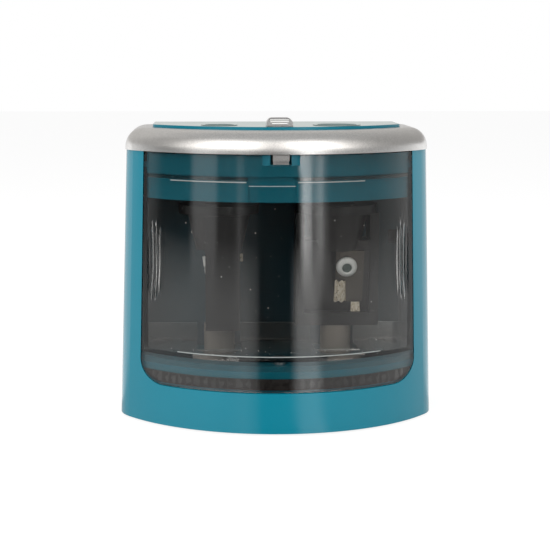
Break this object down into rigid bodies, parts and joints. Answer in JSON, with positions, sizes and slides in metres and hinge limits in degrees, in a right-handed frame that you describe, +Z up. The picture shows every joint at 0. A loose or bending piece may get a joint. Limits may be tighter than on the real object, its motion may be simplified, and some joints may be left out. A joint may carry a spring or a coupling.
{
  "type": "electric pencil sharpener",
  "caption": "Battery desk pencil sharpener: bowed body, smoky pull-out shavings bin, spinning cutters, gear drive, release button and rear cell door.",
  "frame": {"origin": "centre of the footprint, on the surface the rubber feet stand on", "axes": "+X across the front from left to right, +Y from the front to the back, +Z up"},
  "size_m": [0.11, 0.068, 0.1051],
  "materials": {
    "teal_gloss": "glossy teal ABS",
    "teal_satin": "satin teal ABS",
    "dark_plastic": "black ABS",
    "grey_guide": "satin teal ABS, dark",
    "silver_paint": "silver paint on ABS",
    "smoky_clear": "clear polystyrene with a smoky tint",
    "bin_strip": "dark gloss trim strip",
    "rubber": "black rubber",
    "steel": "zinc plated steel",
    "spring_steel": "bright spring steel",
    "blade_steel": "ground blade steel",
    "cage_black": "black glass-filled nylon",
    "block_dark": "dark cast holder",
    "hub_grey": "grey acetal on a steel shaft",
    "white_nylon": "natural acetal",
    "bronze": "oil-filled bronze",
    "brass": "turned brass",
    "armature": "laminated steel with enamelled copper",
    "cell_sleeve": "plain blue sleeve",
    "wire_red": "red PVC",
    "wire_black": "black PVC"
  },
  "bodies": {
    "housing": {"body_shell": "teal_gloss", "base_plate": "dark_plastic", "rubber_feet": "rubber", "base_screws": "steel", "trim_ring": "silver_paint", "top_plate": "teal_gloss", "guide_small": "grey_guide", "guide_large": "grey_guide", "top_housing": "teal_satin", "housing_screws": "steel", "release_spring": "spring_steel", "chamber_liner": "teal_satin", "gear_deck": "teal_satin", "deck_screws": "steel", "spindle_bushes": "bronze", "gear_pin": "steel", "motor_bracket": "dark_plastic", "bracket_screws": "steel", "motor_can": "steel", "motor_end_cap": "white_nylon", "motor_screws": "steel", "battery_tray": "dark_plastic", "tray_screws": "steel", "cells": "cell_sleeve", "cell_plates": "spring_steel", "cell_springs": "spring_steel", "interlock": "dark_plastic", "wire_red": "wire_red", "wire_black": "wire_black"},
    "bin": {"shavings_bin": "smoky_clear", "bin_strip": "bin_strip"},
    "release": {"release_button": "silver_paint"},
    "cell_door": {"battery_door": "teal_gloss"},
    "left_cutter": {"left_cage": "cage_black", "left_block": "block_dark", "left_blade": "blade_steel", "left_blade_screw": "steel", "left_spindle": "hub_grey", "left_gear": "white_nylon"},
    "right_cutter": {"right_cage": "cage_black", "right_block": "block_dark", "right_blade": "blade_steel", "right_blade_screw": "steel", "right_spindle": "hub_grey", "right_gear": "white_nylon"},
    "reduction": {"compound_gear": "white_nylon"},
    "armature": {"rotor": "armature", "pinion": "brass"}
  },
  "joints": [
    {"name": "bin_slide", "type": "slide", "parent": "housing", "child": "bin", "axis": [0, -1, 0], "range_m": [0, 0.06]},
    {"name": "release_slide", "type": "slide", "parent": "housing", "child": "release", "axis": [0, 1, 0], "range_m": [0, 0.003], "stiffness_N_per_m": 300, "springref_m": -0.002, "deforming": ["release_spring"]},
    {"name": "cell_door_off", "type": "slide", "parent": "housing", "child": "cell_door", "axis": [0, 1, 0], "range_m": [0, 0.04]},
    {"name": "left_cutter_spin", "type": "hinge", "parent": "housing", "child": "left_cutter", "pos_m": [-0.02, -0.009, 0.05], "axis": [0, 0, 1], "continuous": true},
    {"name": "right_cutter_spin", "type": "hinge", "parent": "housing", "child": "right_cutter", "pos_m": [0.02, -0.009, 0.05], "axis": [0, 0, 1], "continuous": true},
    {"name": "reduction_spin", "type": "hinge", "parent": "housing", "child": "reduction", "pos_m": [0, -0.00084, 0.012], "axis": [0, 0, 1], "continuous": true},
    {"name": "armature_spin", "type": "hinge", "parent": "housing", "child": "armature", "pos_m": [0, 0.02036, 0.02], "axis": [0, 0, 1], "continuous": true}
  ],
  "couplings": [
    {"joint": "right_cutter_spin", "follows": "left_cutter_spin", "ratio": 1},
    {"joint": "reduction_spin", "follows": "left_cutter_spin", "ratio": -1.7},
    {"joint": "armature_spin", "follows": "left_cutter_spin", "ratio": 7.31}
  ]
}
